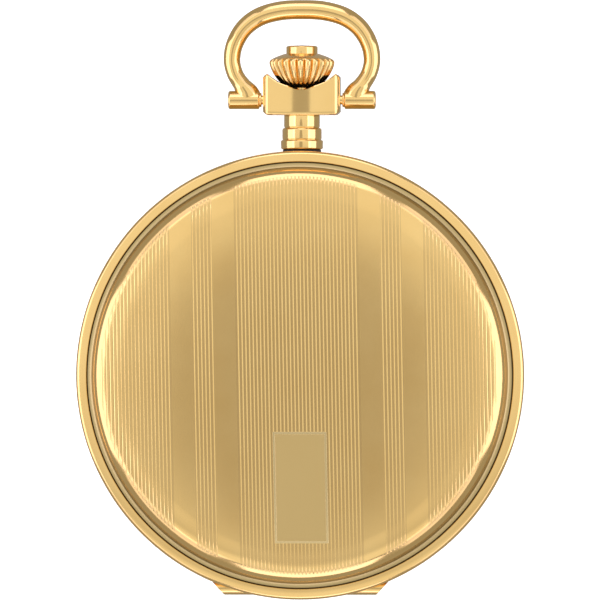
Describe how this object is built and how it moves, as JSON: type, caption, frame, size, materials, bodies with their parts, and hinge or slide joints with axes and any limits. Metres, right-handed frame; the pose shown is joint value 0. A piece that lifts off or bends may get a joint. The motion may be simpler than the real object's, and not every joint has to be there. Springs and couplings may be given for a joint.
{
  "type": "pocket watch",
  "caption": "Closed hunter-case pocket watch with an engraved hinged front cover, swinging bow, fluted winding crown with push button, and a working hand-wound movement inside.",
  "frame": {"origin": "on the case axis, at the flat of the back cover that the watch rests on", "axes": "+Z out of the front cover, +Y towards the pendant and bow, +X right as seen from the front"},
  "size_m": [0.0486, 0.0649, 0.013],
  "materials": {
    "gold": "polished",
    "steel": "satin",
    "blued_steel": "polished",
    "movement_brass": "satin",
    "nickel": "striped",
    "ruby": "polished",
    "dial": "satin",
    "gasket": "matt",
    "crystal": "polished"
  },
  "bodies": {
    "case": {"back_cover": "gold", "case_band": "gold", "case_knuckles": "gold", "hinge_pin": "steel", "bezel": "gold", "crystal": "crystal", "crystal_gasket": "gasket", "back_gasket": "gasket", "pendant_neck": "gold", "pendant_head": "gold", "bow_screws": "gold", "lift_spring": "steel", "casing_ring": "nickel", "casing_screws": "blued_steel", "dial": "dial", "main_plate": "nickel", "minute_post": "steel", "barrel_bridge": "nickel", "train_bridge": "nickel", "pallet_bridge": "nickel", "balance_cock": "nickel", "bridge_screws": "blued_steel", "jewels": "ruby", "click": "steel", "click_spring": "steel", "hairspring": "blued_steel"},
    "front_lid": {"front_cover": "gold", "cover_knuckle": "gold"},
    "bow": {"bow": "gold"},
    "winding_pinion": {"winding_pinion": "steel"},
    "crown": {"crown": "gold", "winding_stem": "steel", "crown_gasket": "gasket"},
    "release_button": {"release_button": "gold", "release_collar": "steel"},
    "clutch": {"clutch_wheel": "steel"},
    "setting_lever": {"setting_lever": "steel"},
    "yoke": {"yoke": "steel"},
    "latch": {"lock_spring": "steel"},
    "crown_wheel": {"crown_wheel": "steel"},
    "ratchet": {"ratchet_wheel": "steel", "barrel_arbor": "steel"},
    "barrel": {"barrel_drum": "movement_brass", "barrel_cover": "movement_brass", "mainspring": "steel"},
    "centre": {"centre_wheel": "movement_brass", "cannon_pinion": "steel", "minute_hand": "blued_steel"},
    "third": {"third_wheel": "movement_brass"},
    "fourth": {"fourth_wheel": "movement_brass", "seconds_hand": "blued_steel"},
    "escape": {"escape_wheel": "steel"},
    "minute_wheel": {"minute_wheel": "movement_brass"},
    "hour_wheel": {"hour_wheel": "movement_brass", "hour_hand": "blued_steel"},
    "pallet_fork": {"pallet_fork": "steel"},
    "balance": {"balance_wheel": "movement_brass"}
  },
  "joints": [
    {"name": "cover_open", "type": "hinge", "parent": "case", "child": "front_lid", "pos_m": [0, -0.023, 0.00875], "axis": [1, 0, 0], "range_deg": [0, 100]},
    {"name": "bow_swing", "type": "hinge", "parent": "case", "child": "bow", "pos_m": [0, 0.02982, 0.0054], "axis": [1, 0, 0], "range_deg": [-110, 110]},
    {"name": "crown_spin", "type": "hinge", "parent": "case", "child": "winding_pinion", "pos_m": [0, 0.016, 0.0054], "axis": [0, 1, 0], "continuous": true},
    {"name": "crown_pull", "type": "slide", "parent": "winding_pinion", "child": "crown", "axis": [0, 1, 0], "range_m": [0, 0.001]},
    {"name": "button_press", "type": "slide", "parent": "crown", "child": "release_button", "axis": [0, -1, 0], "range_m": [0, 0.0006], "stiffness_N_per_m": 50},
    {"name": "clutch_slide", "type": "slide", "parent": "winding_pinion", "child": "clutch", "axis": [0, 1, 0], "range_m": [-0.0005, 0]},
    {"name": "setting_lever_turn", "type": "hinge", "parent": "case", "child": "setting_lever", "pos_m": [0.0039, 0.0154, 0.0072], "axis": [0, 0, 1], "range_deg": [-18, 0]},
    {"name": "yoke_turn", "type": "hinge", "parent": "case", "child": "yoke", "pos_m": [-0.0052, 0.0115, 0.0072], "axis": [0, 0, 1], "range_deg": [-7, 0]},
    {"name": "latch_turn", "type": "hinge", "parent": "case", "child": "latch", "pos_m": [-0.01414, 0.01685, 0.008], "axis": [0, 0, 1], "range_deg": [-3, 0]},
    {"name": "crown_wheel_spin", "type": "hinge", "parent": "case", "child": "crown_wheel", "pos_m": [0, 0.01076, 0.0034], "axis": [0, 0, 1], "continuous": true},
    {"name": "ratchet_spin", "type": "hinge", "parent": "case", "child": "ratchet", "pos_m": [-0.0081, 0.00392, 0.0034], "axis": [0, 0, 1], "continuous": true},
    {"name": "barrel_spin", "type": "hinge", "parent": "case", "child": "barrel", "pos_m": [-0.0081, 0.00392, 0.005], "axis": [0, 0, 1], "continuous": true},
    {"name": "centre_spin", "type": "hinge", "parent": "case", "child": "centre", "pos_m": [0, 0, 0.005], "axis": [0, 0, 1], "continuous": true},
    {"name": "third_spin", "type": "hinge", "parent": "case", "child": "third", "pos_m": [0.00248, -0.00554, 0.005], "axis": [0, 0, 1], "continuous": true},
    {"name": "fourth_spin", "type": "hinge", "parent": "case", "child": "fourth", "pos_m": [0, -0.01, 0.005], "axis": [0, 0, 1], "continuous": true},
    {"name": "escape_spin", "type": "hinge", "parent": "case", "child": "escape", "pos_m": [0.00433, -0.01076, 0.005], "axis": [0, 0, 1], "continuous": true},
    {"name": "minute_wheel_spin", "type": "hinge", "parent": "case", "child": "minute_wheel", "pos_m": [0.0034, 0.0034, 0.0073], "axis": [0, 0, 1], "continuous": true},
    {"name": "hour_wheel_spin", "type": "hinge", "parent": "case", "child": "hour_wheel", "pos_m": [0, 0, 0.0076], "axis": [0, 0, 1], "continuous": true},
    {"name": "balance_swing", "type": "hinge", "parent": "case", "child": "balance", "pos_m": [0.011, -0.0045, 0.0044], "axis": [0, 0, 1], "range_deg": [-150, 150]},
    {"name": "pallet_swing", "type": "hinge", "parent": "case", "child": "pallet_fork", "pos_m": [0.00652, -0.00871, 0.0055], "axis": [0, 0, 1], "range_deg": [-8, 8]}
  ],
  "couplings": [
    {"joint": "clutch_slide", "follows": "crown_pull", "ratio": -0.5},
    {"joint": "setting_lever_turn", "follows": "crown_pull", "rad_per_m": -300},
    {"joint": "yoke_turn", "follows": "crown_pull", "rad_per_m": -100},
    {"joint": "latch_turn", "follows": "button_press", "rad_per_m": -71},
    {"joint": "crown_wheel_spin", "follows": "crown_spin", "ratio": 0.40909},
    {"joint": "ratchet_spin", "follows": "crown_spin", "ratio": -0.29032},
    {"joint": "barrel_spin", "follows": "centre_spin", "ratio": -0.15385},
    {"joint": "third_spin", "follows": "centre_spin", "ratio": -8},
    {"joint": "fourth_spin", "follows": "centre_spin", "ratio": 60},
    {"joint": "escape_spin", "follows": "centre_spin", "ratio": -600},
    {"joint": "minute_wheel_spin", "follows": "centre_spin", "ratio": -0.33333},
    {"joint": "hour_wheel_spin", "follows": "centre_spin", "ratio": 0.083333},
    {"joint": "pallet_swing", "follows": "balance_swing", "ratio": -0.04}
  ]
}
